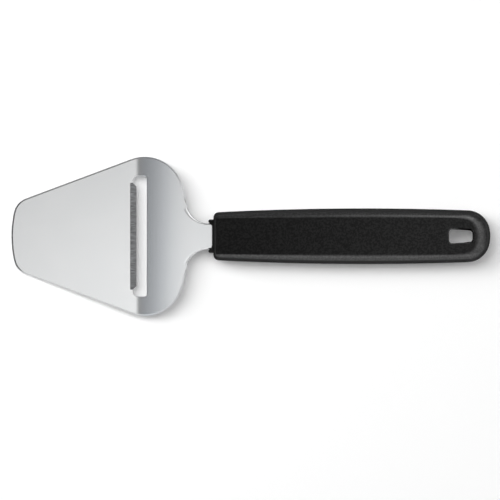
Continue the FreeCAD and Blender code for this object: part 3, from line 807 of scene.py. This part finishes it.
def tang_room(name):
    """The room that the tang takes, with the keys that fill its anchor holes."""
    room = add_box(name, (COLLAR_FRONT - MARGIN, -TANG_HALF, TANG_LEVEL),
                   (TANG_TIP + NOSE_AT, TANG_HALF, TANG_LEVEL + SHEET))
    for place in ANCHORS:
        cut(room, add_anchor(place + NOSE_AT, TANG_LEVEL - MARGIN, TANG_LEVEL + SHEET + MARGIN))
    return room


def make_collar():
    piece = draw_path("neck_collar", flat(COLLAR_FRONT, 0.0), collar_outline(), level=COLLAR_LOW)
    fill_path(piece)
    mirror(piece, "Y")
    thicken(piece, (0.0, 0.0, COLLAR_HIGH - COLLAR_LOW))
    break_edges(piece, COLLAR_BREAK * MM, COLLAR_BREAK_SEGMENTS, collar_rim)
    combine(piece, collar_block("collar_section"), "INTERSECT")
    cut(piece, add_box("neck_room", (COLLAR_FRONT - MARGIN, -NECK_HALF, TANG_LEVEL - FLANGE_DROP),
                       (NECK_END + NOSE_AT, NECK_HALF, TANG_LEVEL + SHEET)))
    cut(piece, tang_room("tang_slot"))
    shade(piece, COLLAR_SMOOTH)
    dress(piece, collar_finish(), "collar")


# The handle, in its place in the frame.
HANDLE_FRONT = -17.4
HANDLE_END = 112.5
HANDLE_TOP = 12.8
HALF_WIDTH = 13.05
WIDEST_AT = 53.3
SIDE_RADIUS = 1346.0
TIP_RADIUS = 18.5
CORNER_RADIUS = 10.7
PANEL_HALF = 8.05
PANEL_TIP_RADIUS = 22.0
PANEL_CORNER = 4.5
END_SLOPE = 8.3
END_BLEND = (95.0, 107.0)
SHOULDER_DROP = 5.4
FRONT_ROUND = 1.5
FRONT_CORNER = 2.4
SIDE_STEPS = 44
CORNER_STEPS = 14
TIP_STEPS = 16
SHOULDER_SEGMENTS = 5
HANDLE_SMOOTH = 28.0

# A slanted band that touches a round shoulder meets the panel this far out, as a share of the shoulder.
FACET = math.tan(math.radians(22.5))
HALF_TOP = HANDLE_TOP / 2
WALL_LEVEL = HALF_TOP - SHOULDER_DROP * (1 - FACET)


def between(panel, waist):
    """A size of the crest loop, which lies where the panel's and the wall's roundings meet."""
    return panel + FACET * (waist - panel)


def handle_loop(half, side_radius, tip, tip_radius, corner_radius):
    """A loop round the handle: its lower front corner, then the centre and turn of each arc."""
    side_centre = flat(WIDEST_AT, side_radius - half)
    tip_centre = flat(tip - tip_radius, 0.0)
    inner_side = side_radius - corner_radius
    inner_tip = tip_radius - corner_radius
    gap = tip_centre - side_centre
    along = (gap.length ** 2 + inner_side ** 2 - inner_tip ** 2) / (2 * gap.length)
    aside = math.sqrt(inner_side ** 2 - along ** 2)
    unit = gap.normalized()
    corner_centre = side_centre + unit * along + flat(-unit.y, unit.x) * aside
    front_y = side_centre.y - math.sqrt(side_radius ** 2 - (HANDLE_FRONT - WIDEST_AT) ** 2)
    front = flat(HANDLE_FRONT, front_y)

    side_stop = bearing(side_centre, corner_centre)
    side_turn = side_stop - bearing(side_centre, front)
    tip_start = bearing(tip_centre, corner_centre)
    corner_turn = tip_start - side_stop

    def above(centre):
        return flat(centre.x, -centre.y)

    return front, [
        (side_centre, side_turn, SIDE_STEPS), (corner_centre, corner_turn, CORNER_STEPS),
        (tip_centre, -2 * tip_start, TIP_STEPS),
        (above(corner_centre), corner_turn, CORNER_STEPS), (above(side_centre), side_turn, SIDE_STEPS),
    ]


def handle_blank():
    """The handle with faceted shoulders: flat panels, slanted bands and upright walls."""
    crest = handle_loop(between(PANEL_HALF, HALF_WIDTH), SIDE_RADIUS / FACET,
                        HANDLE_END - END_SLOPE * (1 - FACET),
                        between(PANEL_TIP_RADIUS, TIP_RADIUS), between(PANEL_CORNER, CORNER_RADIUS))
    wall = handle_loop(HALF_WIDTH, SIDE_RADIUS, HANDLE_END, TIP_RADIUS, CORNER_RADIUS)
    upper = draw_path("crest", *crest, level=HALF_TOP)
    piece = draw_path("grip", *wall, level=WALL_LEVEL)
    upper.select_set(True)
    bpy.ops.object.join()
    for level in (HALF_TOP, WALL_LEVEL):
        edit(piece, "VERT", lambda place: near(place.x, HANDLE_FRONT) and near(place.z, level))
        bpy.ops.mesh.edge_face_add()
        leave_edit()
    edit(piece, "VERT", everywhere)
    bpy.ops.mesh.bridge_edge_loops()
    leave_edit()
    edit(piece, "VERT", lambda place: near(place.z, HALF_TOP))
    bpy.ops.mesh.edge_face_add()
    leave_edit()
    edit(piece, "EDGE", lambda place: near(place.z, WALL_LEVEL))
    extrude((0.0, 0.0, -WALL_LEVEL * MM))
    leave_edit()
    mirror(piece, "Z")
    edit(piece, "VERT", everywhere)
    bpy.ops.transform.translate(value=(0.0, 0.0, HALF_TOP * MM))
    bpy.ops.mesh.normals_make_consistent(inside=False)
    leave_edit()
    return piece


def smooth_rise(value, low, high):
    share = min(max((value - low) / (high - low), 0.0), 1.0)
    return share * share * (3 - 2 * share)


def at_level(ends, level):
    """Whether an edge lies so many millimetres above or below the handle's middle."""
    return all(near(abs(end.z - HALF_TOP * MM), level) for end in ends)


def handle_edges(place, turn, ends):
    """Roundings that leave the panel straight along the sides and draw it in at the end."""
    x = place.x / MM
    rounding = 0.0
    if all(near(end.x, HANDLE_FRONT) for end in ends):
        rounding = FRONT_ROUND if is_level(ends) else FRONT_CORNER
    elif at_level(ends, WALL_LEVEL):
        rounding = FACET * SHOULDER_DROP
    elif at_level(ends, HALF_TOP):
        side = HALF_WIDTH - (x - WIDEST_AT) ** 2 / (2 * SIDE_RADIUS) - PANEL_HALF
        end = smooth_rise(x, *END_BLEND)
        rounding = FACET * (side * (1 - end) + END_SLOPE * end)
    return rounding / (FACET * END_SLOPE)


# The hang hole, which is wider at its front than at its rear.
HOLE_FRONT = 92.9
HOLE_REAR = 104.5
HOLE_FRONT_HALF = 3.39
HOLE_REAR_HALF = 2.71
HOLE_CORNER = 1.5
HOLE_CORNER_SEGMENTS = 6
HOLE_RIM = 0.6
HOLE_RIM_SEGMENTS = 4
HOLE_REACH = 0.1


def hang_hole_cutter():
    """A tapered block with round corners, as long as the hang hole is."""
    cutter = add_box("hang_hole", (HOLE_FRONT, -HOLE_FRONT_HALF, -MARGIN),
                     (HOLE_REAR, HOLE_FRONT_HALF, HANDLE_TOP + MARGIN))
    edit(cutter, "VERT", lambda place: near(place.x, HOLE_REAR))
    bpy.ops.transform.resize(value=(1.0, HOLE_REAR_HALF / HOLE_FRONT_HALF, 1.0),
                             center_override=(HOLE_REAR * MM, 0.0, 0.0))
    leave_edit()
    break_edges(cutter, HOLE_CORNER * MM, HOLE_CORNER_SEGMENTS, edges_along("z"))
    return cutter


def round_hole_rims(piece):
    """Softens the hang hole's two rims."""
    def on_rim(place):
        level = near(place.z, 0.0) or near(place.z, HANDLE_TOP)
        beside = abs(place.y) / MM < HOLE_FRONT_HALF + HOLE_REACH
        return level and beside and HOLE_FRONT - HOLE_REACH < place.x / MM < HOLE_REAR + HOLE_REACH

    edit(piece, "EDGE", on_rim)
    bpy.ops.mesh.bevel(offset=HOLE_RIM * MM, segments=HOLE_RIM_SEGMENTS, affect="EDGES",
                       clamp_overlap=False)
    leave_edit()


def make_handle():
    piece = handle_blank()
    break_edges(piece, FACET * END_SLOPE * MM, SHOULDER_SEGMENTS, handle_edges)
    cut(piece, hang_hole_cutter())
    cut(piece, collar_block("mouth"))
    cut(piece, tang_room("tang_room"))
    round_hole_rims(piece)
    shade(piece, HANDLE_SMOOTH)
    dress(piece, handle_finish(), "handle")


# The studio, in metres.
FLOOR_REACH = 8.0
FLOOR_DROP = 0.00005
FLOOR_GLOW = 0.15
PAPER_GREYS = (0.86, 0.88)
FIBRE_SCALE = 900.0
ROOM_LEVEL = 0.10


def rays_that_see_the_glow(finish):
    """1 for the rays that meet a floor that glows a little: camera, mirror and clear ones."""
    seen = finish.add("ShaderNodeLightPath", {}, {}, "Is Camera Ray")
    for name in ("Is Glossy Ray", "Is Transmission Ray"):
        seen = seen.math("MAXIMUM", seen, finish.add("ShaderNodeLightPath", {}, {}, name))
    return seen


def make_floor():
    deselect_all()
    bpy.ops.mesh.primitive_plane_add(size=2 * FLOOR_REACH, location=(0, 0, -FLOOR_DROP))
    floor = bpy.context.view_layer.objects.active
    floor.name = "studio_floor"
    finish = Finish("white_paper_floor", Roughness=0.9, Specular_IOR_Level=0.0, Emission_Strength=1.0)
    where, _ = finish.places()
    fibre = finish.noise(where, FIBRE_SCALE)
    finish.feed("Base Color", finish.blend(fibre, *map(grey, PAPER_GREYS)))
    glow = finish.blend(rays_that_see_the_glow(finish), grey(0.0), grey(FLOOR_GLOW))
    finish.feed("Emission Color", glow)
    floor.data.materials.append(finish.material)


def make_world():
    world = bpy.data.worlds.new("studio_room")
    bpy.context.scene.world = world
    world.use_nodes = True
    world.node_tree.nodes["Background"].inputs["Color"].default_value = grey(ROOM_LEVEL)


# Each lamp has a name, a place, a width and a length, and a radiance.
KEY_LIGHTS = (
    ("sky_panel", (0.0, 0.35, 1.4), (7.0, 0.9), 1.3),
    ("window_key", (-0.70, 0.80, 1.7), (1.3, 1.3), 3.3),
    ("side_key", (-1.5, 0.60, 1.0), (1.0, 1.0), 5.6),
)
SIDE_CARDS = (
    ("upper_strip", (0.24, 0.40, 0.50), (0.36, 0.2), 2.5),
    ("upper_corner_card", (0.75, 0.55, 1.6), (1.1, 0.65), 1.2),
    ("lower_corner_card", (0.85, -0.38, 1.5), (0.6, 0.7), 0.9),
    ("upper_low_card", (0.0, 1.3, 0.55), (2.4, 0.5), 0.3),
    ("lower_card", (0.0, -1.2, 0.45), (2.4, 0.9), 0.8),
    ("hip_card", (1.04, -0.6, 0.6), (0.6, 0.5), 0.85),
    ("lower_strip", (0.1, -1.0, 1.1), (1.8, 0.4), 1.6),
    ("right_card", (1.05, 0.1, 1.0), (1.2, 0.5), 1.0),
    ("front_card", (-1.0, 0.0, 1.0), (0.8, 0.3), 0.4),
)

# The ceiling's cards fill two strips along X, each card brighter than the one to its left.
CEILING = 2.6
NEAR_STRIP = (-1.20, 0.10)
NEAR_EDGES = (-1.35, -1.00, -0.80, -0.62, -0.46, -0.30, 0.60)
NEAR_LEVELS = (0.24, 0.42, 0.66, 1.03, 1.28, 1.31)
FAR_STRIP = (0.10, 0.55)
FAR_EDGES = (-1.35, -0.62, 0.60)
FAR_LEVELS = (0.10, 0.35)
TOOL_CENTRE = (0.0, 0.0, 0.0)


def softbox(name, place, size, radiance, target):
    """An area lamp turned to the target; its width is level, and its length runs up or along Y."""
    width, length = size
    data = bpy.data.lights.new(name, "AREA")
    data.shape = "RECTANGLE"
    data.size = width
    data.size_y = length
    data.energy = radiance * math.pi * width * length
    lamp = bpy.data.objects.new(name, data)
    bpy.context.scene.collection.objects.link(lamp)
    lamp.location = place
    lamp.rotation_euler = (Vector(place) - Vector(target)).to_track_quat("Z", "Y").to_euler()
    lamp.visible_camera = False
    return lamp


def key_light(name, place, size, radiance):
    """A lamp that lights the table and casts the shadow, and isn't mirrored."""
    softbox(name, place, size, radiance, TOOL_CENTRE).visible_glossy = False


def mirrored_card(name, place, size, radiance, target=TOOL_CENTRE):
    """A card that shows only as a reflection."""
    softbox(name, place, size, radiance, target).visible_diffuse = False


def ceiling_strip(name, edges, strip, levels):
    """A row of level cards over the tool, between edges along X and over one stretch of Y."""
    for number, radiance in enumerate(levels):
        left, right = edges[number:number + 2]
        x, y = (left + right) / 2, (strip[0] + strip[1]) / 2
        size = (right - left, strip[1] - strip[0])
        mirrored_card(f"{name}_{number}", (x, y, CEILING), size, radiance, (x, y, 0.0))


def make_lights():
    make_world()
    for lamp in KEY_LIGHTS:
        key_light(*lamp)
    ceiling_strip("ceiling", NEAR_EDGES, NEAR_STRIP, NEAR_LEVELS)
    ceiling_strip("far_ceiling", FAR_EDGES, FAR_STRIP, FAR_LEVELS)
    for card in SIDE_CARDS:
        mirrored_card(*card)


CAMERA_PLACE = (-0.000235, -0.006455, 2.0064)
LENS = 306.8
SENSOR_WIDTH = 36.0


def make_camera():
    """Looks straight down, from where the photograph was taken."""
    data = bpy.data.cameras.new("photo_camera")
    data.sensor_width = SENSOR_WIDTH
    data.lens = LENS
    camera = bpy.data.objects.new("photo_camera", data)
    bpy.context.scene.collection.objects.link(camera)
    camera.location = CAMERA_PLACE
    bpy.context.scene.camera = camera


make_blade()
make_collar()
make_handle()
make_floor()
make_lights()
make_camera()
bpy.context.scene.view_settings.view_transform = "Standard"
